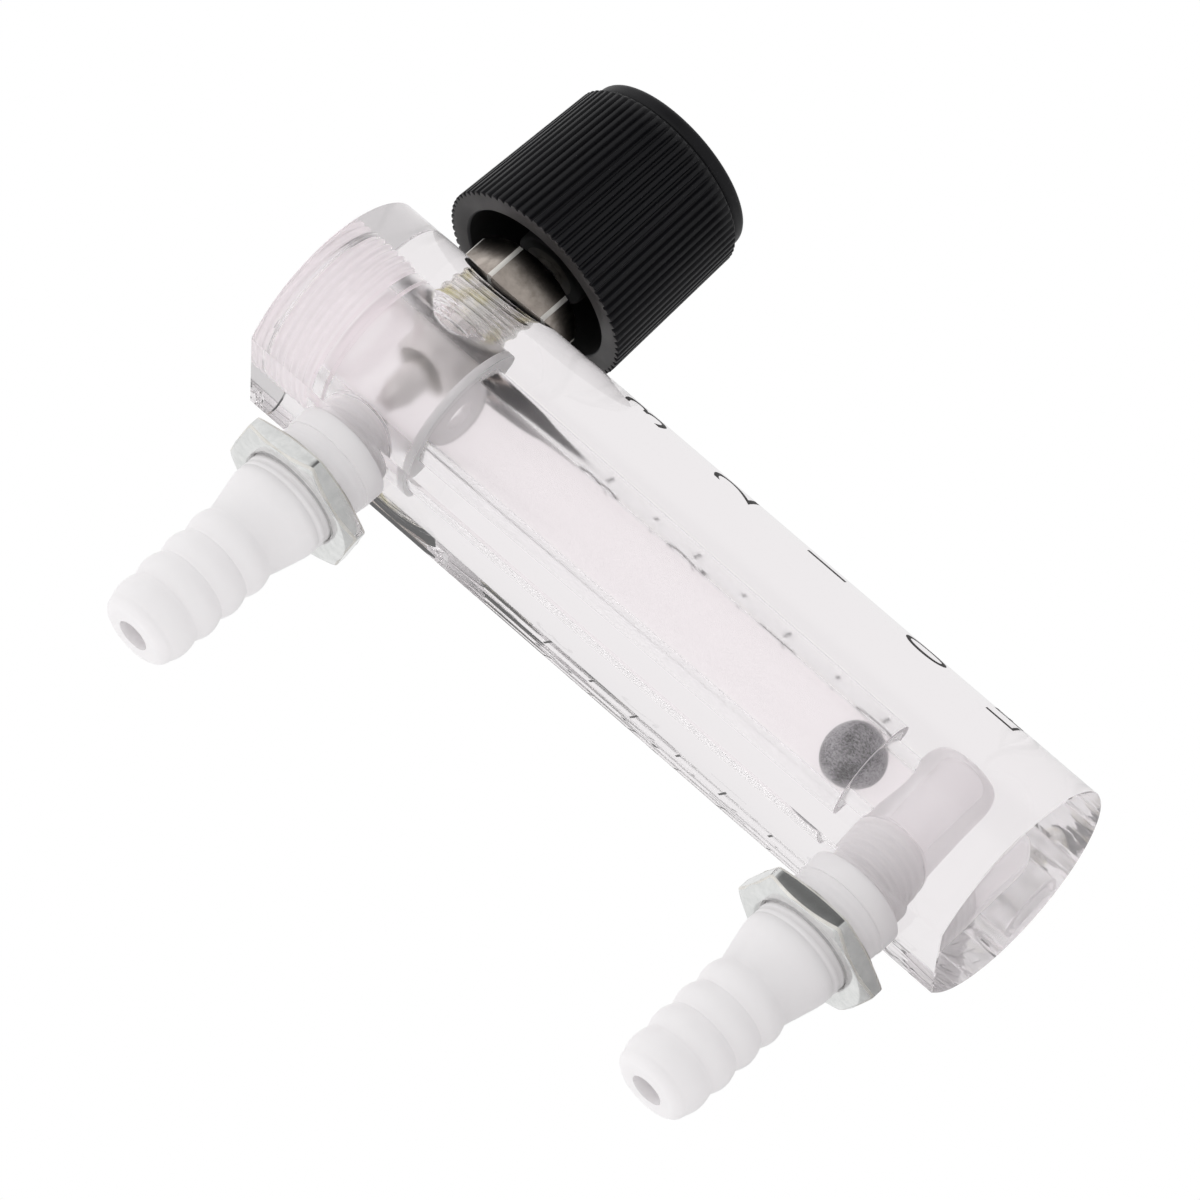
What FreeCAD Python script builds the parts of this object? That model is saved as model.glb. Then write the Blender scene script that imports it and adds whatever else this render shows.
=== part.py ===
import FreeCAD, Part
import math
import os
from FreeCAD import Vector

# A clear panel rotameter with a needle valve. Millimetres, +Z up.
# The origin is the centre of the body's bottom face, on the body's axis.
# -Y is the front, where the valve knob is. +Y is the flat back, where both hose fittings screw in.
# Sizes measured "out" from the body's axis towards the knob are positive and lie at y = -out.

# Clearances
thread_gap = 0.03        # between a screwed piece and its tapped hole, on the radius
running_gap = 0.04       # between a turning or sliding shaft and its bore, on the radius
seal_gap = 0.02          # between a seal ring and the walls of its groove
seat_gap = 0.06          # between the ball, or the needle, and the edge that stops it
end_gap = 0.3            # between two pieces that must not meet at the end of a travel

# Clear body
body_radius = 13.75
flat_depth = 1.75        # how deep the back flat is milled below the round
inlet_height = 11.57     # bottom face to the inlet's axis
port_spacing = 75.93     # inlet's axis to outlet's axis
top_margin = 14.3        # outlet's axis to the top face
front_wall = 9.0         # material left in front of the inlet's blind hole
inlet_drill_radius = 4.6
drill_cone = 0.9         # length of the drill's cone at the end of the inlet hole
port_thread_radius = 5.0
inlet_thread_depth = 8.0  # flat to the end of the inlet's tapped length
port_chamfer = 0.35

# Metering tube and float
ball_radius = 3.75
float_play = 0.25        # ball to bore at the bottom of the taper, on the radius
bore_taper = 0.3         # how much the bore's radius grows up to the stop
seat_rise = 8.03         # inlet's axis to the ball's seat
seat_lip = 0.85          # how much smaller the seat's hole is than the ball, on the radius

# Chamber, stop disc and top plug
stop_ledge = 1.35        # width of the ledge that carries the stop disc
stop_thickness = 1.0
stop_hole_radius = 1.8
stop_below_port = 2.0    # outlet port's wall down to the underside of the stop disc
plug_above_port = 0.8    # outlet port's wall up to the plug's lower face
plug_thread_step = 0.35  # how much the plug's thread stands out past the chamber
plug_nose_length = 2.3
plug_groove_depth = 0.95
plug_groove_length = 1.3
plug_seal_thickness = 1.0
slot_width = 1.4
slot_depth = 2.0
plug_chamfer = 0.4

# Needle valve bonnet
spotface_radius = 7.9
spotface_depth = 2.15    # below the front of the round
seal_recess_depth = 2.3  # spotface to the seal's floor
bonnet_seal_radius = 6.2
bonnet_seal_thickness = 2.4
bonnet_thread_radius = 5.0
bonnet_across_flats = 13.0
bonnet_head_length = 5.5
bonnet_turn = 11.3       # turn of a corner from +X, in degrees
bonnet_chamfer = 0.7
shank_reach = 0.65       # how far the shank stands into the chamber
barrel_radius = 4.0
barrel_length = 4.0
barrel_chamfer = 0.4

# Needle, its stem and its two seal rings
stem_thread_radius = 2.5
stem_thread_length = 8.4
neck_radius = 2.0
neck_flat = 1.5          # axis to the flat that drives the knob's bush
piston_radius = 3.0      # bore of the bonnet that the piston runs in
piston_start = 0.6       # bonnet's inner end to the piston's face, with the valve closed
piston_length = 4.4
groove_length = 1.3
groove_depth = 1.0
seal_ring_thickness = 0.98
shaft_radius = 1.9
needle_half_angle = 25.0
needle_tip_radius = 0.9
seat_wall = 1.35         # chamber to the bottom of the outlet's tapped hole
needle_seat_radius = 1.6
valve_lift = 2.0         # needle's travel from closed to fully open, which is how it is drawn

# Knob
knob_radius = 12.7       # over the ribs, at the open end
knob_taper = 0.7         # how much less it is at the capped end
knob_stand = 3.85        # front of the round to the knob's open end, with the valve open
knob_length = 19.8
rib_count = 72
rib_depth = 0.38
rib_crest = 0.5          # share of the pitch taken by a rib's crest
rib_root = 0.2           # share of the pitch taken by the groove's floor
knob_chamfer = 0.45
skirt_wall = 2.72
skirt_depth = 10.4
web_thickness = 3.0
hub_radius = 4.7
cap_recess_wall = 3.0
bush_radius = 3.3
bush_floor = 1.2         # wall at the bush's outer end, under the screw's head
bush_clear = 0.7         # bonnet's head to the bush, with the valve closed
hub_top_below = 3.4      # knob's outer end down to the bush's outer end
cap_step = 0.83          # how far the cap's edge lies inside the knob's end
cap_thickness = 2.05
cap_rounding = 0.8
cap_spigot_depth = 2.2
cap_spigot_wall = 1.3
screw_radius = 1.25
screw_length = 7.5
screw_head_radius = 2.5
screw_head_height = 1.5
screw_slot_width = 0.6
screw_slot_depth = 0.7

# Hose fittings and their lock nuts
collar_radius = 6.1
collar_length = 2.6
stem_thread_out_radius = 6.0
stem_thread_out_length = 7.4
shoulder_radius = 6.0
shoulder_length = 1.2
taper_length = 4.8
valley_radius = 4.8
ridge_radius = 5.3
ridge_count = 3
ridge_pitch = 3.73
ridge_steps = 6          # straight steps that make up one ridge's round
tip_length = 4.95
tip_radius = 4.45
tip_rounding = 1.3
hose_bore_radius = 2.0
nut_across_flats = 17.0
nut_thickness = 2.5
nut_from_collar = 3.5
nut_chamfer_angle = 30.0
inlet_nut_turn = 24.9    # turn of a corner from +X, in degrees
outlet_nut_turn = 16.8

# Places that follow from the sizes above
outlet_height = inlet_height + port_spacing
body_height = outlet_height + top_margin
flat_y = body_radius - flat_depth
bore_low_radius = ball_radius + float_play
bore_high_radius = bore_low_radius + bore_taper
chamber_radius = bore_high_radius + stop_ledge
plug_thread_radius = chamber_radius + plug_thread_step
seat_height = inlet_height + seat_rise
seat_hole_radius = ball_radius - seat_lip
stop_height = outlet_height - port_thread_radius - stop_below_port
plug_height = outlet_height + bonnet_thread_radius + plug_above_port
plug_thread_height = plug_height + plug_nose_length
spotface_out = body_radius - spotface_depth
seal_face_out = spotface_out - seal_recess_depth
head_face_out = seal_face_out + bonnet_seal_thickness
head_end_out = head_face_out + bonnet_head_length
shank_end_out = chamber_radius - shank_reach
barrel_end_out = shank_end_out - barrel_length
outlet_floor_y = chamber_radius + seat_wall
piston_face_out = barrel_end_out + piston_start + valve_lift
piston_back_out = piston_face_out + piston_length
piston_bore_out = piston_back_out + end_gap
stem_thread_end_out = piston_back_out + stem_thread_length
knob_face_out = body_radius + knob_stand
knob_end_out = knob_face_out + knob_length
knob_end_radius = knob_radius - knob_taper
skirt_radius = knob_radius - skirt_wall
cap_radius = knob_end_radius - cap_step
cap_recess_radius = knob_end_radius - cap_recess_wall
bush_face_out = head_end_out + valve_lift + bush_clear
bush_end_out = knob_end_out - hub_top_below
stem_end_out = bush_end_out - bush_floor - seal_gap
web_face_out = knob_face_out + skirt_depth
ball_rest_height = seat_height + seat_gap + math.sqrt(ball_radius ** 2 - seat_hole_radius ** 2)


def lathe(outline):
    """Solid of revolution about Z. A point is (height, radius). A pair of points is an arc through
    the first that ends at the second."""
    def place(point):
        return Vector(point[1], 0, point[0])

    edges = []
    here = outline[0]
    for step in outline[1:] + [outline[0]]:
        if isinstance(step[0], tuple):
            edges.append(Part.Arc(place(here), place(step[0]), place(step[1])).toShape())
            here = step[1]
        elif step != here:
            edges.append(Part.LineSegment(place(here), place(step)).toShape())
            here = step
    face = Part.Face(Part.Wire(edges))
    return face.revolve(Vector(0, 0, 0), Vector(0, 0, 1), 360)


def along_y(shape, height):
    """Turn a shape made about Z to lie about the line x = 0, z = height, with its +Z as +Y."""
    turned = shape.copy()
    turned.rotate(Vector(0, 0, 0), Vector(1, 0, 0), -90)
    turned.translate(Vector(0, 0, height))
    return turned


def out_outline(outline):
    """Turn an outline's distances out from the body's axis into places along +Y."""
    turned = []
    for step in outline:
        if isinstance(step[0], tuple):
            turned.append(tuple((-out, radius) for out, radius in step))
        else:
            turned.append((-step[0], step[1]))
    return turned


def ring(low, high, inner, outer):
    return lathe([(low, inner), (low, outer), (high, outer), (high, inner)])


def seal_ring(middle, inner, thickness):
    """A ring about Z. Its round section is drawn with eight sides."""
    half = thickness / 2
    reach = half / math.cos(math.pi / 8)
    corners = []
    for side in range(8):
        angle = math.pi / 8 + side * math.pi / 4
        corners.append((middle + reach * math.cos(angle), inner + half + reach * math.sin(angle)))
    return lathe(corners)


def hexagon(across_flats, low, high, turn):
    """A hexagonal prism about Z, with a corner turned by turn degrees from +X."""
    corner_radius = across_flats / math.sqrt(3)
    corners = []
    for side in range(7):
        angle = math.radians(turn + 60 * side)
        corners.append(Vector(corner_radius * math.cos(angle), corner_radius * math.sin(angle), low))
    return Part.Face(Part.makePolygon(corners)).extrude(Vector(0, 0, high - low))


def meter_body():
    tube = Part.makeCylinder(body_radius, body_height)
    flat = Part.makeBox(2 * body_radius, body_radius, body_height, Vector(-body_radius, flat_y, 0))
    metering = lathe([
        (inlet_height, 0), (inlet_height, seat_hole_radius),
        (seat_height, seat_hole_radius), (seat_height, bore_low_radius), (stop_height, bore_high_radius),
        (stop_height, chamber_radius), (plug_thread_height, chamber_radius),
        (plug_thread_height, plug_thread_radius), (body_height, plug_thread_radius),
        (body_height, 0)])
    thread_floor = flat_y - inlet_thread_depth
    inlet = along_y(lathe([
        (-(body_radius - front_wall), 0), (drill_cone - (body_radius - front_wall), inlet_drill_radius),
        (thread_floor, inlet_drill_radius), (thread_floor, port_thread_radius),
        (flat_y - port_chamfer, port_thread_radius),
        (flat_y, port_thread_radius + port_chamfer), (flat_y, 0)]), inlet_height)
    outlet = along_y(lathe([
        (0, 0), (0, needle_seat_radius), (outlet_floor_y, needle_seat_radius),
        (outlet_floor_y, port_thread_radius), (flat_y - port_chamfer, port_thread_radius),
        (flat_y, port_thread_radius + port_chamfer), (flat_y, 0)]), outlet_height)
    valve = along_y(lathe(out_outline([
        (0, 0), (0, bonnet_thread_radius), (seal_face_out, bonnet_thread_radius),
        (seal_face_out, bonnet_seal_radius + thread_gap), (spotface_out, bonnet_seal_radius + thread_gap),
        (spotface_out, spotface_radius), (body_radius, spotface_radius), (body_radius, 0)])),
        outlet_height)
    return tube.cut([flat, metering, inlet, outlet, valve])


def top_plug():
    nose_radius = chamber_radius - thread_gap
    thread_radius = plug_thread_radius - thread_gap
    groove_low = plug_height + (plug_nose_length - plug_groove_length) / 2
    groove_high = groove_low + plug_groove_length
    turned = lathe([
        (plug_height, 0), (plug_height, nose_radius),
        (groove_low, nose_radius), (groove_low, nose_radius - plug_groove_depth),
        (groove_high, nose_radius - plug_groove_depth), (groove_high, nose_radius),
        (plug_thread_height, nose_radius), (plug_thread_height, thread_radius),
        (body_height - plug_chamfer, thread_radius), (body_height, thread_radius - plug_chamfer),
        (body_height, 0)])
    slot = Part.makeBox(
        2 * plug_thread_radius, slot_width, slot_depth,
        Vector(-plug_thread_radius, -slot_width / 2, body_height - slot_depth))
    return turned.cut(slot)


def plug_seal():
    inner = chamber_radius - thread_gap - plug_groove_depth + seal_gap
    thickness = min(plug_seal_thickness, chamber_radius - seal_gap - inner)
    return seal_ring(plug_height + plug_nose_length / 2, inner, thickness)


def float_stop():
    return ring(stop_height, stop_height + stop_thickness, stop_hole_radius,
                chamber_radius - thread_gap)


def float_ball():
    return Part.makeSphere(ball_radius, Vector(0, 0, ball_rest_height))


def valve_bonnet():
    thread_radius = bonnet_thread_radius - thread_gap
    turned = lathe(out_outline([
        (head_face_out, 0), (head_face_out, thread_radius), (shank_end_out, thread_radius),
        (shank_end_out, barrel_radius), (barrel_end_out + barrel_chamfer, barrel_radius),
        (barrel_end_out, barrel_radius - barrel_chamfer), (barrel_end_out, 0)]))
    head = hexagon(bonnet_across_flats, -head_end_out, -head_face_out, bonnet_turn)
    corner_radius = bonnet_across_flats / math.sqrt(3)
    envelope = lathe(out_outline([
        (head_face_out, 0), (head_face_out, corner_radius),
        (head_end_out - bonnet_chamfer, corner_radius),
        (head_end_out, corner_radius - 1.7 * bonnet_chamfer), (head_end_out, 0)]))
    bore = lathe(out_outline([
        (head_end_out, 0), (head_end_out, stem_thread_radius),
        (piston_bore_out, stem_thread_radius), (piston_bore_out, piston_radius),
        (barrel_end_out, piston_radius), (barrel_end_out, 0)]))
    solid = turned.fuse(head.common(envelope)).removeSplitter().cut(bore)
    return along_y(solid, outlet_height)


def bonnet_seal():
    flat_ring = ring(-head_face_out, -seal_face_out, bonnet_thread_radius + seal_gap, bonnet_seal_radius)
    return along_y(flat_ring, outlet_height)


def groove_middles():
    """Places of the two seal rings, out from the body's axis."""
    quarter = piston_length / 4
    return [piston_face_out + quarter, piston_face_out + 3 * quarter]


def valve_stem():
    slope = math.tan(math.radians(needle_half_angle))
    seat_y = math.sqrt(chamber_radius ** 2 - needle_seat_radius ** 2)
    contact_radius = needle_seat_radius - seat_gap
    contact_y = seat_y - valve_lift
    tip_y = contact_y + (contact_radius - needle_tip_radius) / slope
    shaft_y = contact_y - (shaft_radius - contact_radius) / slope
    piston = piston_radius - running_gap
    outline = [(-tip_y, 0), (-tip_y, needle_tip_radius), (-shaft_y, shaft_radius),
               (piston_face_out, shaft_radius), (piston_face_out, piston)]
    for middle in groove_middles():
        outline += [(middle - groove_length / 2, piston),
                    (middle - groove_length / 2, piston - groove_depth),
                    (middle + groove_length / 2, piston - groove_depth),
                    (middle + groove_length / 2, piston)]
    thread = stem_thread_radius - running_gap
    outline += [(piston_back_out, piston), (piston_back_out, thread),
                (stem_thread_end_out, thread), (stem_thread_end_out, neck_radius),
                (stem_end_out, neck_radius), (stem_end_out, 0)]
    turned = lathe(out_outline(outline))
    flat = Part.makeBox(
        2 * neck_radius, neck_radius, stem_end_out - bush_face_out,
        Vector(-neck_radius, neck_flat, -stem_end_out))
    tapped = Part.makeCylinder(
        screw_radius, screw_length, Vector(0, 0, -stem_end_out))
    return along_y(turned.cut([flat, tapped]), outlet_height)


def stem_seal(middle):
    inner = piston_radius - running_gap - groove_depth + seal_gap
    thickness = min(seal_ring_thickness, piston_radius - seal_gap - inner)
    return along_y(seal_ring(-middle, inner, thickness), outlet_height)


def rib_section(radius, out):
    """The knob's ribbed outline, at one distance out from the body's axis."""
    pitch = 2 * math.pi / rib_count
    crest = rib_crest * pitch / 2
    root = (1 - rib_root) * pitch / 2
    corners = []
    for rib in range(rib_count):
        for turn, depth in ((-root, rib_depth), (-crest, 0), (crest, 0), (root, rib_depth)):
            angle = rib * pitch + turn
            reach = radius - depth
            corners.append(Vector(reach * math.cos(angle), reach * math.sin(angle), -out))
    return Part.makePolygon(corners + [corners[0]])


def knob():
    grip = Part.makeLoft(
        [rib_section(knob_radius, knob_face_out), rib_section(knob_end_radius, knob_end_out)], True, True)
    envelope = lathe(out_outline([
        (knob_face_out, 0), (knob_face_out, knob_radius - knob_chamfer),
        (knob_face_out + knob_chamfer, knob_radius + knob_chamfer),
        (knob_end_out - knob_chamfer, knob_end_radius + knob_chamfer),
        (knob_end_out, knob_end_radius - knob_chamfer), (knob_end_out, 0)]))
    skirt = lathe(out_outline([
        (knob_face_out, 0), (knob_face_out, skirt_radius), (web_face_out, skirt_radius),
        (web_face_out, hub_radius), (bush_face_out, hub_radius), (bush_face_out, 0)]))
    recess = lathe(out_outline([
        (knob_end_out, 0), (knob_end_out, cap_recess_radius),
        (web_face_out + web_thickness, cap_recess_radius), (web_face_out + web_thickness, hub_radius),
        (bush_end_out, hub_radius), (bush_end_out, 0)]))
    hub_bore = Part.makeCylinder(
        bush_radius, bush_end_out - bush_face_out, Vector(0, 0, -bush_end_out))
    return along_y(grip.common(envelope).cut([skirt, recess, hub_bore]), outlet_height)


def knob_bush():
    bush = Part.makeCylinder(bush_radius, bush_end_out - bush_face_out, Vector(0, 0, -bush_end_out))
    bore_radius = neck_radius + seal_gap
    bore_floor = bush_end_out - bush_floor
    bore = Part.makeCylinder(bore_radius, bore_floor - bush_face_out, Vector(0, 0, -bore_floor))
    key = Part.makeBox(
        2 * bore_radius, bore_radius, bore_floor - bush_face_out,
        Vector(-bore_radius, neck_flat + seal_gap, -bore_floor))
    screw_hole = Part.makeCylinder(screw_radius + seal_gap, bush_floor, Vector(0, 0, -bush_end_out))
    return along_y(bush.cut([bore.cut(key), screw_hole]), outlet_height)


def knob_screw():
    head_end_out = bush_end_out + screw_head_height
    shank_length = screw_length + bush_floor - end_gap
    head = Part.makeCylinder(screw_head_radius, screw_head_height, Vector(0, 0, -head_end_out))
    shank = Part.makeCylinder(screw_radius - thread_gap, shank_length, Vector(0, 0, -bush_end_out))
    slot = Part.makeBox(
        2 * screw_head_radius, screw_slot_width, screw_slot_depth,
        Vector(-screw_head_radius, -screw_slot_width / 2, -head_end_out))
    return along_y(head.fuse(shank).removeSplitter().cut(slot), outlet_height)


def knob_cap():
    end_out = knob_end_out + cap_thickness
    round_step = cap_rounding * (1 - math.sqrt(0.5))
    spigot_radius = cap_recess_radius - seal_gap
    spigot_inner = spigot_radius - cap_spigot_wall
    spigot_end_out = knob_end_out - cap_spigot_depth
    turned = lathe(out_outline([
        (end_out, 0), (end_out, cap_radius - cap_rounding),
        ((end_out - round_step, cap_radius - round_step), (end_out - cap_rounding, cap_radius)),
        (knob_end_out, cap_radius), (knob_end_out, spigot_radius),
        (spigot_end_out, spigot_radius), (spigot_end_out, spigot_inner),
        (knob_end_out, spigot_inner), (knob_end_out, 0)]))
    return along_y(turned, outlet_height)


def hose_fitting(height, floor_y):
    """A barbed hose fitting, screwed into the flat at one height down to floor_y."""
    thread_end = flat_y + collar_length + stem_thread_out_length
    shoulder_end = thread_end + shoulder_length
    barb_start = shoulder_end + taper_length
    barb_end = barb_start + ridge_count * ridge_pitch
    tip_end = barb_end + tip_length
    round_step = tip_rounding * (1 - math.sqrt(0.5))
    outline = [
        (floor_y + end_gap, hose_bore_radius), (floor_y + end_gap, port_thread_radius - thread_gap),
        (flat_y, port_thread_radius - thread_gap), (flat_y, collar_radius),
        (flat_y + collar_length, collar_radius), (flat_y + collar_length, stem_thread_out_radius),
        (thread_end, stem_thread_out_radius), (thread_end, shoulder_radius),
        (shoulder_end, shoulder_radius), (barb_start, valley_radius)]
    for step in range(1, ridge_count * ridge_steps + 1):
        place = step / ridge_steps
        rise = abs(math.sin(math.pi * place))
        outline.append((barb_start + place * ridge_pitch,
                        valley_radius + (ridge_radius - valley_radius) * rise))
    outline += [
        ((barb_end + 0.4 * tip_length, ridge_radius), (tip_end - tip_rounding, tip_radius)),
        ((tip_end - round_step, tip_radius - round_step), (tip_end, tip_radius - tip_rounding)),
        (tip_end, hose_bore_radius)]
    return along_y(lathe(outline), height)


def lock_nut(height, turn):
    low = flat_y + collar_length + nut_from_collar
    high = low + nut_thickness
    corner_radius = nut_across_flats / math.sqrt(3)
    face_radius = nut_across_flats / 2 - 0.2
    chamfer = (corner_radius - face_radius) * math.tan(math.radians(nut_chamfer_angle))
    bore_radius = stem_thread_out_radius + thread_gap
    envelope = lathe([
        (low, bore_radius), (low, face_radius), (low + chamfer, corner_radius),
        (high - chamfer, corner_radius), (high, face_radius), (high, bore_radius)])
    return along_y(hexagon(nut_across_flats, low, high, -turn).common(envelope), height)


inner_ring, outer_ring = groove_middles()
inlet_floor_y = flat_y - inlet_thread_depth
pieces = {
    "meter_body": meter_body(),
    "top_plug": top_plug(),
    "plug_seal": plug_seal(),
    "float_stop": float_stop(),
    "float_ball": float_ball(),
    "valve_bonnet": valve_bonnet(),
    "bonnet_seal": bonnet_seal(),
    "valve_stem": valve_stem(),
    "stem_seal_inner": stem_seal(inner_ring),
    "stem_seal_outer": stem_seal(outer_ring),
    "knob": knob(),
    "knob_bush": knob_bush(),
    "knob_screw": knob_screw(),
    "knob_cap": knob_cap(),
    "inlet_fitting": hose_fitting(inlet_height, inlet_floor_y),
    "outlet_fitting": hose_fitting(outlet_height, outlet_floor_y),
    "inlet_nut": lock_nut(inlet_height, inlet_nut_turn),
    "outlet_nut": lock_nut(outlet_height, outlet_nut_turn),
}

os.makedirs("parts", exist_ok=True)
for name, shape in pieces.items():
    shape.exportStep("parts/" + name + ".step")
    print(name, len(shape.Solids), round(shape.Volume, 1), shape.isValid())
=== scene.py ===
import math
import bmesh
import bpy
import numpy as np
from mathutils import Matrix, Vector


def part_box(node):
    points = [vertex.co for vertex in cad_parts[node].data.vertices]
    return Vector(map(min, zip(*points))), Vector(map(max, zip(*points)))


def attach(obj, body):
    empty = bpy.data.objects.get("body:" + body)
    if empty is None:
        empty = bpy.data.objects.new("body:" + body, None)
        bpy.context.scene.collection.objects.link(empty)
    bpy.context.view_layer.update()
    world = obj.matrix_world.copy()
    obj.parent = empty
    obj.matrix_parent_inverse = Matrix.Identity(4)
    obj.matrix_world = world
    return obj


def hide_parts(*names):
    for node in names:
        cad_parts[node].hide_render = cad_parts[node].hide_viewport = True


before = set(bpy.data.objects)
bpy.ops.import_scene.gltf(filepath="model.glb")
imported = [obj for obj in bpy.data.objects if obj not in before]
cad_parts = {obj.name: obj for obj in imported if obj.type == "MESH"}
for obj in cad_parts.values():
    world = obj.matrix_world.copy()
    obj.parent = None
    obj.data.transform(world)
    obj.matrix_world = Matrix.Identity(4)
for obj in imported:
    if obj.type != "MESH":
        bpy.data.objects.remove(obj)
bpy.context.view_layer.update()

mm = 0.001
micron = 0.000001
touch = 0.01 * mm        # the least step between two rows, and the slack when places are compared
fullTurn = 2 * math.pi
print("frame loaded:", len(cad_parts), "nodes")

# places that every piece shares, read from the frame
bodyLow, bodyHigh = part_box("meter_body")
inletLow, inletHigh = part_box("inlet_fitting")
outletLow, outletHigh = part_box("outlet_fitting")
sealLow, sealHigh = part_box("bonnet_seal")
bodyRadius = bodyHigh[0]
bodyTop = bodyHigh[2]
flatY = bodyHigh[1]
inletHeight = (inletLow[2] + inletHigh[2]) / 2
outletHeight = (outletLow[2] + outletHigh[2]) / 2


# ---- surfaces

def smoothStep(value):
    held = np.clip(value, 0, 1)
    return held * held * (3 - 2 * held)


def roundedLine(points, reach, steps=5):
    """Each corner of the line becomes a curve that starts and ends at most reach from it:
    (1-t)^2 before + 2t(1-t) corner + t^2 after."""
    points = np.asarray(points, float)
    out = [points[:1]]
    for before, corner, after in zip(points[:-2], points[1:-1], points[2:]):
        back, ahead = before - corner, after - corner
        backLength, aheadLength = np.linalg.norm(back), np.linalg.norm(ahead)
        near = corner + back * min(reach, backLength * 0.45) / backLength
        far = corner + ahead * min(reach, aheadLength * 0.45) / aheadLength
        t = np.linspace(0, 1, steps)[:, None]
        out.append((1 - t) ** 2 * near + 2 * t * (1 - t) * corner + t ** 2 * far)
    out.append(points[-1:])
    return np.concatenate(out)


def gridFaces(rows, columns, wrapRows=False):
    """Quads between the points of a grid. Columns close on themselves, and so do wrapped rows."""
    row = np.arange(rows if wrapRows else rows - 1)[:, None]
    column = np.arange(columns)[None, :]
    nextRow, nextColumn = (row + 1) % rows, (column + 1) % columns
    corners = [row * columns + column, row * columns + nextColumn,
               nextRow * columns + nextColumn, nextRow * columns + column]
    return np.stack([np.broadcast_to(c, (len(row), columns)) for c in corners], -1).reshape(-1, 4)


def outward(mesh, merge=0.0):
    """Join points that are closer than merge, and turn every face outwards."""
    work = bmesh.new()
    work.from_mesh(mesh)
    if merge:
        bmesh.ops.remove_doubles(work, verts=work.verts, dist=merge)
    bmesh.ops.recalc_face_normals(work, faces=work.faces)
    work.to_mesh(mesh)
    work.free()


def gridPiece(name, grid, wrapRows=False, sharp=30):
    """A surface through a grid of points. A row of equal points becomes a pole."""
    rows, columns = grid.shape[:2]
    mesh = bpy.data.meshes.new(name)
    mesh.from_pydata(grid.reshape(-1, 3).tolist(), [], gridFaces(rows, columns, wrapRows).tolist())
    outward(mesh, merge=1e-7)
    return finishPiece(name, mesh, sharp)


def finishPiece(name, mesh, sharp=30):
    """Smooth shading, with an edge wherever faces meet at more than sharp degrees."""
    mesh.shade_smooth()
    mesh.set_sharp_from_angle(angle=math.radians(sharp))
    piece = bpy.data.objects.new(name, mesh)
    bpy.context.scene.collection.objects.link(piece)
    return piece


def rowArrays(rows, count):
    """Rows of (along, radius), each a number or an array of count, as two full grids."""
    return (np.stack([np.broadcast_to(row[part], (count,)) for row in rows]) for part in (0, 1))


def turnedGrid(along, radius, columns, height=None):
    """Points at radius(row, column) round an axis, at distance along(row, column) on it. The axis
    is Z when height is None, and otherwise the line x = 0, z = height, along +Y."""
    angle = np.arange(columns) / columns * fullTurn
    along, radius, angle = np.broadcast_arrays(along, radius, angle[None, :])
    first, second = radius * np.cos(angle), radius * np.sin(angle)
    if height is None:
        return np.stack([first, second, along], -1)
    return np.stack([first, along, height - second], -1)


def lathe(name, profile, columns=192, height=None, sharp=30, thread=None):
    """Solid of revolution of a profile of (along, radius). A thread adds
    depth x ridge(along / pitch - turns) to the radius between its two ends."""
    profile = np.asarray(profile, float)
    along, radius = profile[:, :1], profile[:, 1:]
    if thread:
        radius = radius + threadDepth(along, np.arange(columns) / columns, **thread) * (radius > 0)
    return gridPiece(name, turnedGrid(along, radius, columns, height), sharp=sharp)


def threadDepth(along, turns, low, high, pitch, depth):
    """A right-handed ridge at turns round the axis: a triangle wave of along and turns with rounded
    crests, faded out at both ends over half a pitch."""
    wave = np.abs((along / pitch - turns[None, :]) % 1 * 2 - 1)
    ridge = 0.5 - 0.5 * np.cos(np.clip((wave - 0.12) / 0.76, 0, 1) * math.pi)
    fade = smoothStep((along - low) / (pitch / 2)) * smoothStep((high - along) / (pitch / 2))
    return depth * ridge * fade


def threadRows(low, high, pitch, radius, perPitch=12):
    """Rows close enough together to carry a thread."""
    count = max(2, int(abs(high - low) / pitch * perPitch))
    along = np.linspace(low, high, count)
    return np.stack([along, np.full(count, radius)], -1)


# ---- materials

def newMaterial(name):
    material = bpy.data.materials.new(name)
    material.use_nodes = True
    tree = material.node_tree
    return material, tree, tree.nodes["Principled BSDF"]


def setSockets(node, values):
    for key, value in values.items():
        node.inputs[key].default_value = value


def link(tree, source, target):
    tree.links.new(source, target)


def addNode(tree, kind, values=None, **settings):
    node = tree.nodes.new(kind)
    for key, value in settings.items():
        setattr(node, key, value)
    setSockets(node, values or {})
    return node


def objectPoint(tree, scale=(1, 1, 1)):
    coordinates = addNode(tree, "ShaderNodeTexCoord")
    mapping = addNode(tree, "ShaderNodeMapping", {"Scale": scale})
    link(tree, coordinates.outputs["Object"], mapping.inputs["Vector"])
    return mapping.outputs["Vector"]


def noise(tree, vector, scale, detail=3.0, roughness=0.5):
    node = addNode(tree, "ShaderNodeTexNoise",
                   {"Scale": scale, "Detail": detail, "Roughness": roughness})
    link(tree, vector, node.inputs["Vector"])
    return node.outputs["Fac"]


def ramp(tree, factor, stops):
    node = addNode(tree, "ShaderNodeValToRGB")
    elements = node.color_ramp.elements
    while len(elements) < len(stops):
        elements.new(0.5)
    for element, (place, colour) in zip(elements, stops):
        element.position = place
        element.color = (*colour, 1) if isinstance(colour, tuple) else (colour, colour, colour, 1)
    link(tree, factor, node.inputs["Fac"])
    return node.outputs["Color"]


def bump(tree, height, shader, distance):
    node = addNode(tree, "ShaderNodeBump", {"Distance": distance, "Strength": 1.0})
    link(tree, height, node.inputs["Height"])
    link(tree, node.outputs["Normal"], shader.inputs["Normal"])


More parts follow.
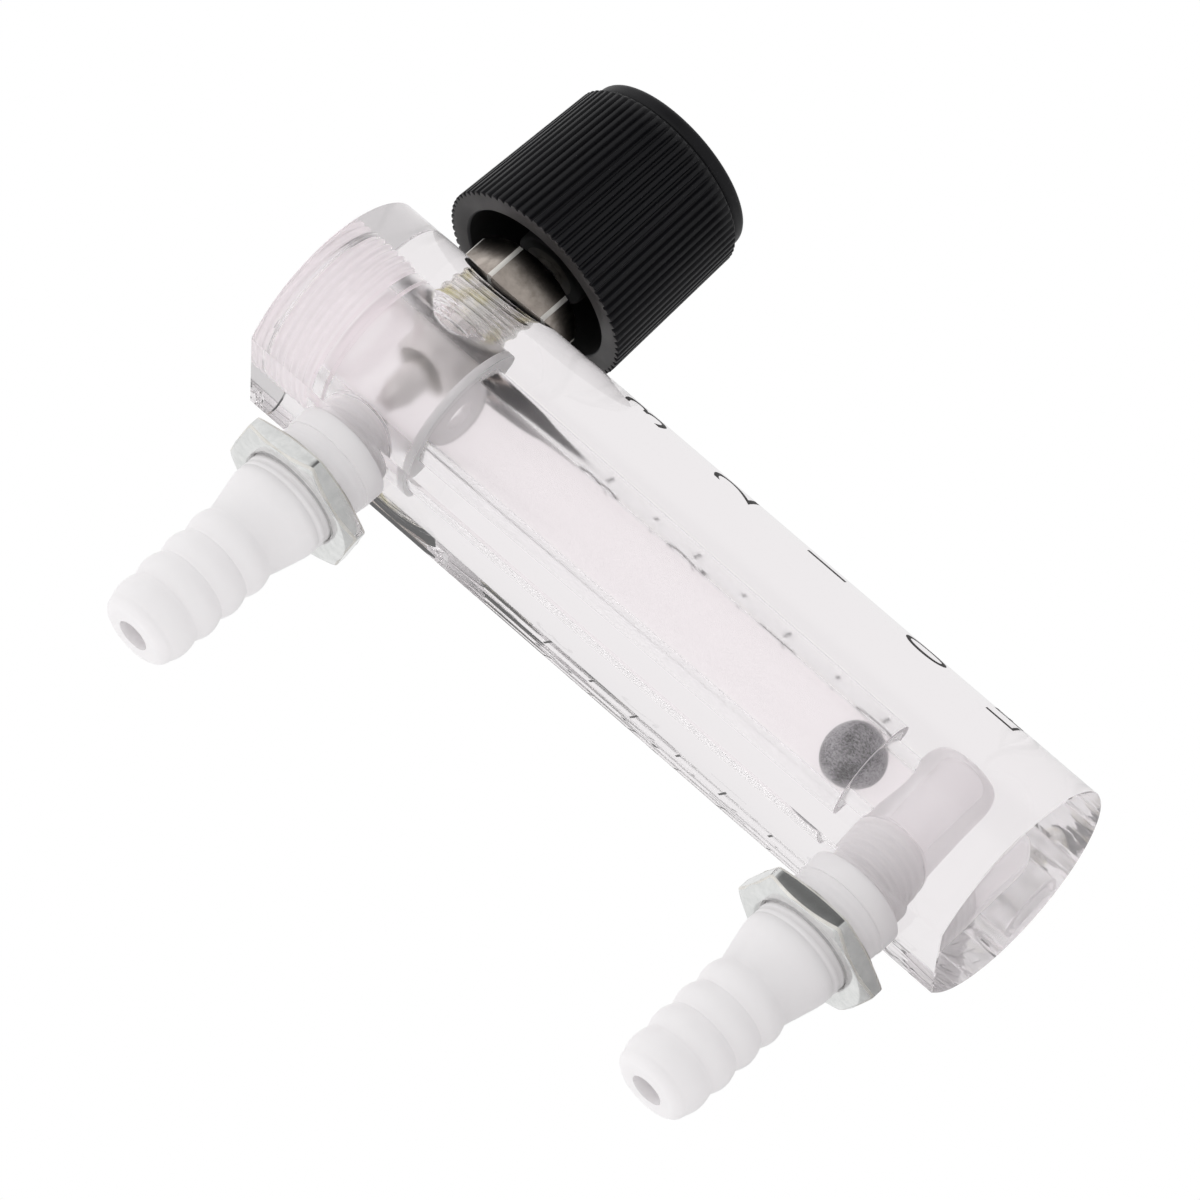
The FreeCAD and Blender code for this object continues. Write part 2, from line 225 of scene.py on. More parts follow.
def speckled(name, dark, light, roughness):
    """A worn ball: dark, with a fine pale bloom in patches."""
    material, tree, shader = newMaterial(name)
    setSockets(shader, {"Roughness": roughness, "Specular IOR Level": 0.3})
    point = objectPoint(tree)
    patches = noise(tree, point, 300.0, 2.0)
    grains = noise(tree, objectPoint(tree, (6000, 6000, 3000)), 1.0, 3.0, 0.6)
    both = addNode(tree, "ShaderNodeMath", operation="MULTIPLY")
    link(tree, patches, both.inputs[0])
    link(tree, grains, both.inputs[1])
    colour = ramp(tree, both.outputs["Value"], [(0.15, dark), (0.34, light)])
    link(tree, colour, shader.inputs["Base Color"])
    return material


acrylicLook = {"tint": (0.985, 0.952, 0.964, 1), "ior": 1.49, "shadow": (0.985, 0.98, 0.983, 1),
               "frost": (0.97, 0.95, 0.96, 1), "ringScale": (60, 60, 2600)}


def clearAcrylic(name, roughness, marks, frost=0.0):
    """Clear acrylic. Its shadows are light, marks is the depth of the cutter's rings in metres, and
    frost is the share of the light that a drilled face scatters."""
    material, tree, shader = newMaterial(name)
    setSockets(shader, {"Base Color": acrylicLook["tint"], "Transmission Weight": 1.0,
                        "IOR": acrylicLook["ior"], "Roughness": roughness})
    rings = noise(tree, objectPoint(tree, acrylicLook["ringScale"]), 1.0, 2.0)
    bump(tree, rings, shader, marks)
    clear = addNode(tree, "ShaderNodeBsdfTransparent", {"Color": acrylicLook["shadow"]})
    path = addNode(tree, "ShaderNodeLightPath")
    solid = shader.outputs["BSDF"]
    if frost:
        behind = addNode(tree, "ShaderNodeBsdfTranslucent", {"Color": acrylicLook["frost"]})
        front = addNode(tree, "ShaderNodeBsdfDiffuse", {"Color": acrylicLook["frost"]})
        white = blended(tree, 0.5, behind.outputs["BSDF"], front.outputs["BSDF"])
        solid = blended(tree, frost, solid, white)
    look = blended(tree, path.outputs["Is Shadow Ray"], solid, clear.outputs["BSDF"])
    link(tree, look, tree.nodes["Material Output"].inputs["Surface"])
    return material


def blended(tree, factor, first, second):
    mix = addNode(tree, "ShaderNodeMixShader")
    if isinstance(factor, float):
        mix.inputs["Fac"].default_value = factor
    else:
        link(tree, factor, mix.inputs["Fac"])
    link(tree, first, mix.inputs[1])
    link(tree, second, mix.inputs[2])
    return mix.outputs["Shader"]


nylonLook = {"colour": (0.995, 0.962, 0.975, 1), "roughness": 0.42, "ior": 1.53,
             "radius": (1.0, 1.0, 1.0), "grain": 900.0, "grainDepth": 20 * micron}


def nylon(name, share, depth):
    """Milky white moulded nylon: a share of the light goes in, to about depth in metres."""
    look = nylonLook
    material, tree, shader = newMaterial(name)
    setSockets(shader, {"Base Color": look["colour"], "Roughness": look["roughness"],
                        "IOR": look["ior"], "Subsurface Weight": share,
                        "Subsurface Radius": look["radius"], "Subsurface Scale": depth})
    grain = noise(tree, objectPoint(tree), look["grain"], 4.0)
    bump(tree, grain, shader, look["grainDepth"])
    return material


def metal(name, dark, light, roughness, grain, grainDepth, cloudSize=320.0, paintedShade=None):
    """Plated metal with cloudy colour between dark and light, a fine grain, and roughness from the
    first value to the second. Two places on Y add painted shade, for the dark knob reflected in the
    plating: it is painted black at the first and clean at the second."""
    material, tree, shader = newMaterial(name)
    setSockets(shader, {"Metallic": 1.0})
    point = objectPoint(tree)
    clouds = noise(tree, point, cloudSize, 5.0, 0.6)
    colour = ramp(tree, clouds, [(0.35, dark), (0.65, light)])
    # painted shade: the colour is darkened along Y towards the knob
    if paintedShade:
        colour = mixed(tree, 1.0, colour, paintedShadeAlong(tree, point, clouds, paintedShade), "MULTIPLY")
    link(tree, colour, shader.inputs["Base Color"])
    gloss = ramp(tree, clouds, [(0.3, roughness[1]), (0.7, roughness[0])])
    link(tree, gloss, shader.inputs["Roughness"])
    bump(tree, noise(tree, point, grain, 3.0), shader, grainDepth)
    return material


def mixed(tree, factor, first, second, blend="MIX"):
    node = addNode(tree, "ShaderNodeMix", data_type="RGBA", blend_type=blend)
    for source, socket in ((factor, 0), (first, 6), (second, 7)):
        if hasattr(source, "links"):
            link(tree, source, node.inputs[socket])
        else:
            node.inputs[socket].default_value = source
    return node.outputs[2]


# painted shade on the plating near the knob: how uneven its edge is, its shift, and its greys
paintedShadeLook = {"uneven": 0.5, "shift": -0.12, "greys": [(0.12, 0.05), (0.6, 0.6), (1.0, 1.0)]}


def paintedShadeAlong(tree, point, clouds, places):
    """Painted shade for the dark knob reflected in the plating: a grey that rises from one place on Y
    to the other, with an edge that the clouds break up.
    """
    split = addNode(tree, "ShaderNodeSeparateXYZ")
    link(tree, point, split.inputs["Vector"])
    spread = addNode(tree, "ShaderNodeMapRange", {"From Min": places[0], "From Max": places[1]})
    link(tree, split.outputs["Y"], spread.inputs["Value"])
    uneven = addNode(tree, "ShaderNodeMath", {1: paintedShadeLook["uneven"], 2: paintedShadeLook["shift"]},
                     operation="MULTIPLY_ADD")
    link(tree, clouds, uneven.inputs[0])
    total = addNode(tree, "ShaderNodeMath", operation="ADD")
    link(tree, spread.outputs["Result"], total.inputs[0])
    link(tree, uneven.outputs["Value"], total.inputs[1])
    return ramp(tree, total.outputs["Value"], paintedShadeLook["greys"])


def stainedMetal(name, metalColour, stain, roughness, scale, share):
    """Bright metal with a film of dried sealant where a noise passes a share, with a soft edge."""
    material, tree, shader = newMaterial(name)
    setSockets(shader, {"Metallic": 1.0, "Roughness": roughness})
    cover = noise(tree, objectPoint(tree, (1, 1.6, 1)), scale, 2.0)
    colour = ramp(tree, cover, [(share - 0.1, metalColour), (share + 0.12, stain)])
    link(tree, colour, shader.inputs["Base Color"])
    return material


def plastic(name, colour, roughness, grain, grainDepth, gloss=0.5):
    """Moulded plastic or rubber: one colour, a little mottled, with a fine grain."""
    material, tree, shader = newMaterial(name)
    setSockets(shader, {"Base Color": (*colour, 1), "Specular IOR Level": gloss})
    point = objectPoint(tree)
    mottling = noise(tree, point, 260.0, 4.0)
    uneven = ramp(tree, mottling, [(0.35, roughness[0]), (0.7, roughness[1])])
    link(tree, uneven, shader.inputs["Roughness"])
    bump(tree, noise(tree, point, grain, 3.0), shader, grainDepth)
    return material


finishForms = {
    "polishedAcrylic": (clearAcrylic, {"roughness": 0.0, "marks": 0.4 * micron}),
    "boredAcrylic": (clearAcrylic, {"roughness": 0.14, "marks": 0.6 * micron, "frost": 0.1}),
    "chamberAcrylic": (clearAcrylic, {"roughness": 0.3, "marks": 1 * micron, "frost": 0.12}),
    "sawnAcrylic": (clearAcrylic, {"roughness": 0.06, "marks": 0.0, "frost": 0.2}),
    "seatAcrylic": (clearAcrylic, {"roughness": 0.4, "marks": 0.0, "frost": 0.9}),
    "tappedAcrylic": (clearAcrylic, {"roughness": 0.03, "marks": 0.0}),
    "drilledAcrylic": (clearAcrylic, {"roughness": 0.38, "marks": 1 * micron, "frost": 0.7}),
    "threadedAcrylic": (clearAcrylic, {"roughness": 0.42, "marks": 1 * micron, "frost": 0.2}),
    "whiteNylon": (nylon, {"share": 0.3, "depth": 2 * mm}),
    "nickelPlate": (metal, {
        "dark": (0.4, 0.35, 0.31), "light": (0.56, 0.5, 0.45), "roughness": (0.3, 0.44),
        "grain": 2500.0, "grainDepth": 4 * micron, "cloudSize": 520.0,
        # painted shade: the plating goes black towards the knob, for the dark knob reflected in it
        "paintedShade": (-16.8 * mm, -12.8 * mm)}),
    # worn plating on the edges, painted lighter as well: wear and a painted highlight along them
    "wornEdge": (metal, {
        "dark": (0.8, 0.78, 0.74), "light": (0.92, 0.9, 0.86), "roughness": (0.5, 0.6),
        "grain": 4000.0, "grainDepth": 2 * micron}),
    "stainedNickel": (stainedMetal, {
        "metalColour": (0.8, 0.79, 0.76), "stain": (0.62, 0.58, 0.33), "roughness": 0.22,
        "scale": 300.0, "share": 0.56}),
    "brightNickel": (metal, {
        "dark": (0.66, 0.65, 0.63), "light": (0.8, 0.79, 0.77), "roughness": (0.08, 0.12),
        "grain": 4000.0, "grainDepth": 0.5 * micron}),
    "zincPlate": (metal, {
        "dark": (0.77, 0.78, 0.77), "light": (0.86, 0.865, 0.855), "roughness": (0.1, 0.2),
        "grain": 5000.0, "grainDepth": 3 * micron, "cloudSize": 900.0}),
    # the bush's brass painted near black: painted shade inside the knob's hub
    "darkBrass": (metal, {
        "dark": (0.02, 0.016, 0.012), "light": (0.04, 0.032, 0.022), "roughness": (0.5, 0.6),
        "grain": 4000.0, "grainDepth": 4 * micron}),
    "blackPlastic": (plastic, {
        "colour": (0.006, 0.006, 0.0075), "roughness": (0.38, 0.46), "grain": 7000.0,
        "grainDepth": 8 * micron, "gloss": 0.22}),
    # a lighter copy of the knob's black for its flat face: painted light where the face turns to the room
    "knobFace": (plastic, {
        "colour": (0.03, 0.028, 0.028), "roughness": (0.5, 0.6), "grain": 7000.0,
        "grainDepth": 10 * micron}),
    # black rubber for the seals; inside the knob's skirt the same finish is painted shade
    "blackRubber": (plastic, {
        "colour": (0.004, 0.004, 0.004), "roughness": (0.6, 0.75), "grain": 6000.0,
        "grainDepth": 8 * micron, "gloss": 0.15}),
    "floatBall": (speckled, {"dark": (0.005, 0.005, 0.006), "light": (0.4, 0.4, 0.42), "roughness": 0.3}),
    "whiteDisc": (nylon, {"share": 1.0, "depth": 4 * mm}),
    "clearSilicone": (clearAcrylic, {"roughness": 0.45, "marks": 1 * micron}),
    "scaleInk": (plastic, {
        "colour": (0.02, 0.017, 0.017), "roughness": (0.5, 0.6), "grain": 8000.0,
        "grainDepth": 2 * micron, "gloss": 0.2}),
}
finishes = {name: make(name, **form) for name, (make, form) in finishForms.items()}
print("materials made:", len(finishes))


def dress(piece, finish, body, slot, *nodes):
    """Give a piece its finish and body, and hide the nodes that it stands for."""
    if finish:
        piece.data.materials.append(finishes[finish])
    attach(piece, body)
    if nodes:
        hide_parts(*nodes)
    return piece


def partWhere(piece, finish, chosen):
    """Give the faces that chosen picks, from their middles, another finish."""
    mesh = piece.data
    middles = np.empty(len(mesh.polygons) * 3)
    mesh.polygons.foreach_get("center", middles)
    indices = np.empty(len(mesh.polygons), np.int32)
    mesh.polygons.foreach_get("material_index", indices)
    indices[chosen(middles.reshape(-1, 3))] = len(mesh.materials)
    mesh.materials.append(finishes[finish])
    mesh.polygons.foreach_set("material_index", indices)


def partRows(piece, finish, columns, rows):
    """Give whole rows of a grid's faces another finish."""
    for row in rows:
        for face in piece.data.polygons[row * columns:(row + 1) * columns]:
            face.material_index = len(piece.data.materials)
    piece.data.materials.append(finishes[finish])


# ---- clear body, cut by the same tools as the real one

bodyCut = {"columns": 288, "rim": 0.12 * mm, "flatPoints": (4 * mm, 0.0, -4 * mm), "past": 1 * mm,
           "overlap": 0.02 * mm, "seatHole": 2.9 * mm, "seatLine": 3.45 * mm, "ballPlay": 0.06 * mm,
           "boreLow": 4.0 * mm, "boreHigh": 4.3 * mm, "chamber": 5.65 * mm, "noseLength": 2.3 * mm,
           "plugThread": 6.0 * mm, "plugThreadPitch": 1 * mm, "plugThreadDepth": 0.26 * mm,
           "portThread": 5.0 * mm, "portThreadPitch": 1 * mm, "portThreadDepth": 0.12 * mm,
           "portLead": 0.35 * mm, "portLeadDepth": 0.3 * mm, "inletThreadLength": 8.0 * mm,
           "inletDrill": 4.6 * mm, "frontWall": 9.0 * mm, "drillTip": 0.3 * mm,
           "drillRounding": 1.6 * mm, "seatWall": 1.35 * mm, "needleSeat": 1.6 * mm,
           "spotface": 7.9 * mm, "spotfaceOut": 11.6 * mm, "valveThreadDepth": 0.3 * mm,
           "valveThreadFade": -1 * mm, "valveEnd": -2 * mm, "sharp": 28}
ballLow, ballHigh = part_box("float_ball")
ballRadius = (ballHigh[0] - ballLow[0]) / 2
ballMiddle = (ballLow[2] + ballHigh[2]) / 2
stopLow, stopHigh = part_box("float_stop")
plugLow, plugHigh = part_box("top_plug")
# a ball on the edge of a hole has its middle the square root of (radius^2 - hole^2) above that edge
ballStand = math.sqrt(ballRadius ** 2 - bodyCut["seatHole"] ** 2)
seatHeight = ballMiddle - bodyCut["ballPlay"] - ballStand
plugThreadStart = plugLow[2] + bodyCut["noseLength"]


def dRod():
    """The outer form: a round rod with one flat, with a small rim chamfer at both ends."""
    half = math.acos(flatY / bodyRadius)
    angle = math.pi / 2 + np.linspace(half, fullTurn - half, bodyCut["columns"])
    outline = np.stack([np.cos(angle), np.sin(angle)], -1) * bodyRadius
    outline = np.concatenate([outline, [[flatX, flatY] for flatX in bodyCut["flatPoints"]]])
    rim = bodyCut["rim"]
    rows = [(0.0, 0.0), (0.0, 1 - rim / bodyRadius), (rim, 1.0), (bodyTop - rim, 1.0),
            (bodyTop, 1 - rim / bodyRadius), (bodyTop, 0.0)]
    rings = [np.concatenate([outline * scale, np.full((len(outline), 1), height)], 1)
             for height, scale in rows]
    return gridPiece("clear_body", np.stack(rings))


def boreCutter():
    """The metering bore, the chamber and the tapped hole for the plug, in one turned tool."""
    cut = bodyCut
    threadTop = bodyTop + cut["past"]
    rows = np.concatenate([
        [(inletHeight, 0.0), (inletHeight, cut["seatHole"]), (seatHeight, cut["seatHole"]),
         (seatHeight, cut["seatLine"]), (seatHeight, cut["boreLow"]),
         (stopLow[2], cut["boreHigh"]), (stopLow[2], cut["chamber"])],
        threadRows(plugThreadStart - cut["past"], threadTop, cut["plugThreadPitch"], cut["chamber"]),
        [(threadTop, 0.0)]])
    return lathe("bore_cutter", rows, thread={
        "low": plugThreadStart, "high": threadTop + cut["past"], "pitch": cut["plugThreadPitch"],
        "depth": cut["plugThreadDepth"]})


def portCutter(name, height, inner):
    """A tapped port in the flat. inner is the plain hole that leads on from the thread."""
    cut = bodyCut
    floor = inner[-1][0]
    outside = flatY + cut["past"]
    threadEnd = flatY - cut["portLeadDepth"]
    minor = cut["portThread"] - cut["portThreadDepth"]
    lead = cut["portThread"] + cut["portLead"]
    rows = np.concatenate([
        inner, [(floor, minor)], threadRows(floor + touch, threadEnd, cut["portThreadPitch"], minor),
        [(threadEnd, cut["portThread"]), (flatY, lead), (outside, lead), (outside, 0.0)]])
    return lathe(name, rows, height=height, thread={
        "low": floor, "high": threadEnd, "pitch": cut["portThreadPitch"],
        "depth": cut["portThreadDepth"]})


def inletCutter():
    """The inlet's tapped port, with a drilling that ends round near the front wall."""
    cut = bodyCut
    end = cut["frontWall"] - bodyRadius
    tip = roundedLine([(end, 0.0), (end + cut["drillTip"], cut["inletDrill"]),
                       (flatY - cut["inletThreadLength"], cut["inletDrill"])], cut["drillRounding"], 9)
    return portCutter("inlet_cutter", inletHeight, tip)


def outletCutter():
    """The outlet's tapped port, with the needle's seat between it and the chamber."""
    cut = bodyCut
    floor = cut["chamber"] + cut["seatWall"]
    return portCutter("outlet_cutter", outletHeight,
                      [(0.0, 0.0), (0.0, cut["needleSeat"]), (floor, cut["needleSeat"])])


def valveCutter():
    """The tapped hole for the bonnet, the recess for its seal and the spotface, cut from the front."""
    cut = bodyCut
    face = sealHigh[1] - cut["overlap"]
    front = -bodyRadius - cut["past"]
    recess = sealHigh[0] - cut["overlap"]
    minor = cut["portThread"] - cut["valveThreadDepth"]
    rows = np.concatenate([
        [(front, 0.0), (front, cut["spotface"]), (-cut["spotfaceOut"], cut["spotface"]),
         (-cut["spotfaceOut"], recess), (face, recess), (face, cut["portThread"])],
        threadRows(face + touch, cut["valveEnd"], cut["portThreadPitch"], minor),
        [(cut["valveEnd"], 0.0)]])
    return lathe("valve_cutter", rows, height=outletHeight, thread={
        "low": face, "high": cut["valveThreadFade"], "pitch": cut["portThreadPitch"],
        "depth": cut["valveThreadDepth"]})


def fromBodyAxis(middle):
    return np.hypot(middle[:, 0], middle[:, 1])


def fromValveAxis(middle):
    return np.hypot(middle[:, 0], middle[:, 2] - outletHeight)


def inPlugThread(middle):
    reach = fromBodyAxis(middle)
    near = 0.3 * mm
    return ((middle[:, 2] > plugThreadStart) & (middle[:, 2] < bodyTop - touch)
            & (reach > bodyCut["chamber"] - near) & (reach < bodyCut["plugThread"] + near))


def inChamber(middle):
    return ((middle[:, 2] > stopLow[2] - touch) & (middle[:, 2] < plugThreadStart)
            & (fromBodyAxis(middle) < bodyCut["chamber"] + touch))


def onSeat(middle):
    return (np.abs(middle[:, 2] - seatHeight) < touch) & (fromBodyAxis(middle) > bodyCut["seatLine"])


cutFinish = {"bore_cutter": "boredAcrylic", "inlet_cutter": "drilledAcrylic",
             "outlet_cutter": "threadedAcrylic", "valve_cutter": "tappedAcrylic"}


def cutBody():
    """Cut the rod with every tool, then give the seat, the chamber, the plug's thread and the sawn
    bottom their own finishes. The other cut faces keep the finish of their tool."""
    rod = dRod()
    tools = [boreCutter(), inletCutter(), outletCutter(), valveCutter()]
    rod.data.materials.append(finishes["polishedAcrylic"])
    for finish in sorted(set(cutFinish.values())):
        rod.data.materials.append(finishes[finish])
    for tool in tools:
        tool.data.materials.append(finishes[cutFinish[tool.name]])
        cutter = rod.modifiers.new("cut", "BOOLEAN")
        cutter.operation = "DIFFERENCE"
        cutter.solver = "MANIFOLD"
        cutter.object = tool
    graph = bpy.context.evaluated_depsgraph_get()
    mesh = bpy.data.meshes.new_from_object(rod.evaluated_get(graph))
    rod.modifiers.clear()
    rod.data = mesh
    mesh.shade_smooth()
    mesh.set_sharp_from_angle(angle=math.radians(bodyCut["sharp"]))
    for tool in tools:
        bpy.data.objects.remove(tool)
    partWhere(rod, "threadedAcrylic", inPlugThread)
    partWhere(rod, "chamberAcrylic", inChamber)
    partWhere(rod, "seatAcrylic", onSeat)
    partWhere(rod, "sawnAcrylic", lambda middle: middle[:, 2] < bodyCut["rim"] / 2)
    return rod


dress(cutBody(), None, "housing", "clear_acrylic", "meter_body")
print("clear body cut")


# ---- top plug

plugForm = {"grooveDepth": 0.95 * mm, "grooveHalf": 0.65 * mm, "lead": 0.4 * mm}


def topPlug():
    """A screw that fills the tapped hole, with a groove for its seal in the plain nose."""
    cut, form = bodyCut, plugForm
    crest = cut["chamber"] + cut["plugThreadDepth"] + cut["overlap"]
    minor = cut["chamber"] + cut["overlap"]
    groove = minor - form["grooveDepth"]
    middle = (plugLow[2] + plugThreadStart) / 2
    half = form["grooveHalf"]
    rows = np.concatenate([
        [(plugLow[2], 0.0), (plugLow[2], minor), (middle - half, minor), (middle - half, groove),
         (middle + half, groove), (middle + half, minor)],
        threadRows(plugThreadStart - touch, bodyTop - form["lead"], cut["plugThreadPitch"], minor),
        [(bodyTop, crest - form["lead"]), (bodyTop, 0.0)]])
    return lathe("plug_screw", rows, thread={
        "low": plugThreadStart, "high": bodyTop + cut["past"], "pitch": cut["plugThreadPitch"],
        "depth": cut["plugThreadDepth"]})


plug = dress(topPlug(), "polishedAcrylic", "housing", "clear_acrylic", "top_plug")
partWhere(plug, "threadedAcrylic", inPlugThread)
print("top plug made")


# ---- hose fittings

fittingForm = {"collar": 6.1 * mm, "collarLength": 2.6 * mm, "stem": 6.0 * mm, "stemPitch": 1 * mm,
               "stemDepth": 0.07 * mm, "stemLength": 7.4 * mm, "shoulder": 6.0 * mm,
               "shoulderLength": 1.2 * mm, "taperLength": 4.8 * mm, "valley": 4.8 * mm,
               "ridge": 5.3 * mm, "ridges": 3, "ridgePitch": 3.73 * mm, "tip": 4.45 * mm,
               "tipRounding": 1.3 * mm, "bore": 2.0 * mm, "threadLead": 0.1 * mm,
               "collarRounding": 0.25 * mm, "shoulderRounding": 1.5 * mm, "lastBarb": 0.85,
               "columns": 128}


def hoseFitting(name, node, height, low, high):
    """The outer line runs along the thread, the collar, the screwed stem, the taper and then
    valley + (ridge - valley) x sin(pi t) over each barb, and comes back through the bore."""
    form = fittingForm
    threadMinor = bodyCut["portThread"] + bodyCut["overlap"] - bodyCut["portThreadDepth"]
    stemMinor = form["stem"] - form["stemDepth"]
    stemStart = flatY + form["collarLength"]
    stemEnd = stemStart + form["stemLength"]
    barbStart = stemEnd + form["shoulderLength"] + form["taperLength"]
    t = np.linspace(0, 1, 17)[:, None]
    barbs = np.concatenate([
        np.concatenate([barbStart + (ridge + t) * form["ridgePitch"],
                        form["valley"] + (form["ridge"] - form["valley"]) * np.sin(math.pi * t)], 1)
        for ridge in range(form["ridges"])])
    barbEnd = barbStart + form["ridges"] * form["ridgePitch"]
    tipStart = high[1] - form["tipRounding"]
    tipLine = np.concatenate([
        barbEnd + (tipStart - barbEnd) * t,
        form["valley"] + (form["ridge"] - form["valley"]) * np.sin(math.pi * t * form["lastBarb"])
        - (form["valley"] - form["tip"]) * t], 1)
    arc = t * math.pi / 2
    tipRound = np.concatenate([
        tipStart + form["tipRounding"] * np.sin(arc),
        tipLine[-1, 1] - form["tipRounding"] * (1 - np.cos(arc))], 1)
    shoulder = roundedLine([
        (stemEnd, form["shoulder"]), (stemEnd + form["shoulderLength"], form["shoulder"]),
        (barbStart, form["valley"])], form["shoulderRounding"], 9)
    rows = np.concatenate([
        [(low[1], form["bore"]), (low[1], threadMinor)],
        threadRows(low[1] + touch, flatY - form["threadLead"], bodyCut["portThreadPitch"], threadMinor),
        roundedLine([(flatY, threadMinor), (flatY, form["collar"]), (stemStart, form["collar"]),
                     (stemStart, stemMinor)], form["collarRounding"]),
        threadRows(stemStart + touch, stemEnd - form["threadLead"], form["stemPitch"], stemMinor),
        shoulder[:-1], barbs, tipLine, tipRound, [(high[1], form["bore"])]])
    along, radius = rows[:, :1], rows[:, 1:]
    turns = np.arange(form["columns"]) / form["columns"]
    radius = radius + threadDepth(along, turns, low[1], flatY, bodyCut["portThreadPitch"],
                                  bodyCut["portThreadDepth"])
    radius = radius + threadDepth(along, turns, stemStart, stemEnd, form["stemPitch"], form["stemDepth"])
    grid = turnedGrid(along, radius, form["columns"], height)
    piece = gridPiece(name, grid, wrapRows=True, sharp=40)
    return dress(piece, "whiteNylon", "housing", "white_nylon", node)


hoseFitting("inlet_hose_tail", "inlet_fitting", inletHeight, inletLow, inletHigh)
hoseFitting("outlet_hose_tail", "outlet_fitting", outletHeight, outletLow, outletHigh)
print("hose fittings made")


# ---- hexagons

def hexOutline(acrossFlats, cornerRound, turn, perSide=24):
    """Radius and angle round a hexagon: acrossFlats / 2 / cos(angle from the side's middle), held
    below the corner by a rounding, with the first corner at turn degrees."""
    fromMiddle = np.linspace(-1, 1, perSide, endpoint=False) * math.pi / 6
    apothem = acrossFlats / 2
    straight = apothem / np.cos(fromMiddle)
    corner = apothem / math.cos(math.pi / 6)
    softest = corner - cornerRound
    radius = straight - smoothStep((straight - softest) / (corner - softest)) * (straight - softest) * 0.5
    angle = math.radians(turn + 30) + fromMiddle[None, :] + (np.arange(6) * math.pi / 3)[:, None]
    return np.tile(radius, 6), angle.reshape(-1)


def hexGrid(height, angle, rows):
    """Rows of (along, radius) arrays round the hexagon's own angles, about the line z = height."""
    along, radius = rowArrays(rows, len(angle))
    return np.stack([radius * np.cos(angle), along, height + radius * np.sin(angle)], -1)


nutForm = {"acrossFlats": 17 * mm, "cornerRound": 0.18 * mm, "facePlay": 0.2 * mm, "outerAngle": 25,
           "innerAngle": 13, "bore": 6.03 * mm, "boreChamfer": 0.45 * mm, "edge": 0.2 * mm,
           "inletTurn": 24.9, "outletTurn": 16.8, "edgeRows": (5, 6, 8, 9)}


def chamferRows(face, inward, faceRadius, hexRadius, slope, edge):
    """Six rows from the flat face over the cone to the hexagon's side, three round each of its two
    edges, at shares of edge. The cone meets the side at (hexRadius - faceRadius) x slope."""
    meet = face + inward * (hexRadius - faceRadius) * slope
    return [(face, faceRadius - edge), (face + inward * edge * 0.12, faceRadius),
            (face + inward * edge * slope, faceRadius + edge),
            (meet - inward * edge * slope, hexRadius - edge),
            (meet + inward * edge * 0.25, hexRadius - edge * 0.18),
            (meet + inward * edge * 1.3, hexRadius)]


def lockNut(name, node, height, turn):
    """A hexagon with a steep cone on its outer side and a flat one on its inner side."""
    form = nutForm
    low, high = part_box(node)
    hexRadius, angle = hexOutline(form["acrossFlats"], form["cornerRound"], turn)
    faceRadius = form["acrossFlats"] / 2 - form["facePlay"]
    innerSlope, outerSlope = (math.tan(math.radians(form[key])) for key in ("innerAngle", "outerAngle"))
    lead = form["boreChamfer"]
    rows = [(low[1] + lead, form["bore"]), (low[1], form["bore"] + lead)]
    rows += chamferRows(low[1], 1, faceRadius, hexRadius, innerSlope, form["edge"])
    rows += reversed(chamferRows(high[1], -1, faceRadius, hexRadius, outerSlope, form["edge"]))
    rows += [(high[1], form["bore"] + lead), (high[1] - lead, form["bore"])]
    piece = gridPiece(name, hexGrid(height, angle, rows), wrapRows=True, sharp=50)
    dress(piece, "zincPlate", "housing", "zinc_plate", node)
    # the rounded edges get worn, lighter plating that is also a painted highlight
    partRows(piece, "wornEdge", len(angle), form["edgeRows"])


lockNut("inlet_lock_nut", "inlet_nut", inletHeight, nutForm["inletTurn"])
lockNut("outlet_lock_nut", "outlet_nut", outletHeight, nutForm["outletTurn"])
print("lock nuts made")


# ---- needle valve bonnet

bonnetForm = {"acrossFlats": 13 * mm, "cornerRound": 0.16 * mm, "turn": -11.3, "headChamfer": 0.5 * mm,
              "coneSlope": 1.7, "threadOverlap": 0.05 * mm, "barrel": 4.0 * mm, "barrelLength": 4.0 * mm,
              "stemBore": 2.5 * mm, "pistonBore": 3.0 * mm, "pistonDepth": 7.0 * mm, "edge": 0.08 * mm,
              "lead": 0.4 * mm, "pistonLead": 0.2 * mm, "stemLead": 0.3 * mm}


